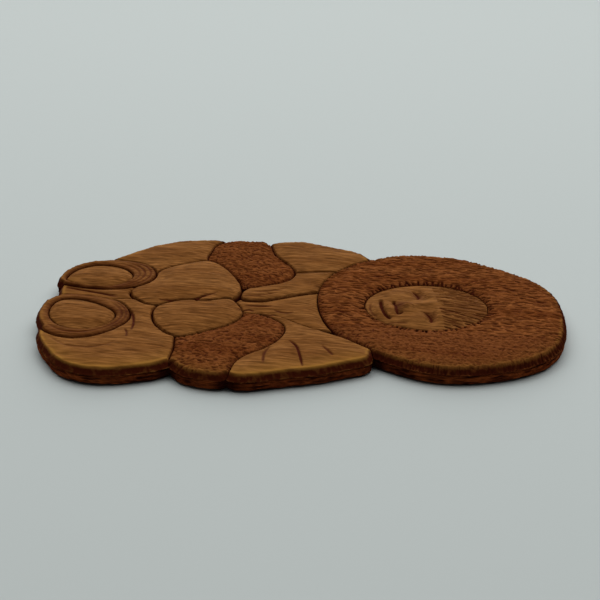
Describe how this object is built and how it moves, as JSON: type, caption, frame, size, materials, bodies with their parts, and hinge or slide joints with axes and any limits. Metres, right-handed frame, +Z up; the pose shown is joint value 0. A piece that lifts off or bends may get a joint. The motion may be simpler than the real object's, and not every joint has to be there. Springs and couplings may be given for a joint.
{
  "type": "carved wooden doll",
  "caption": "Flat carved wooden doll of a seated child in a fur-trimmed hooded parka, mittens and boots, laid on its back.",
  "frame": {"origin": "middle of the board's underside, the plane the doll lies on", "axes": "+X towards the top of the head, +Y towards the figure's own right hand, +Z up out of the carved face"},
  "size_m": [0.2449, 0.1403, 0.0115],
  "materials": {
    "smooth_wood": "smooth golden-brown stained wood with a low sheen",
    "trim_wood": "darker stained wood with rounded, rubbed edges",
    "fur_wood": "red-brown wood, gouged all over with short fur strokes",
    "backing_wood": "rough dark red-brown board with gouged edges"
  },
  "bodies": {
    "root": {"backing_board": "backing_wood", "left_sole": "smooth_wood", "right_sole": "smooth_wood", "left_welt": "trim_wood", "right_welt": "trim_wood", "left_mitten": "smooth_wood", "right_mitten": "smooth_wood", "left_cuff": "fur_wood", "right_cuff": "fur_wood", "left_sleeve": "smooth_wood", "face": "smooth_wood", "hood_ruff": "fur_wood", "right_sleeve": "smooth_wood", "right_chest_panel": "smooth_wood", "left_chest_panel": "smooth_wood", "left_leg": "smooth_wood", "right_leg": "smooth_wood", "right_boot_side": "smooth_wood"}
  },
  "joints": []
}
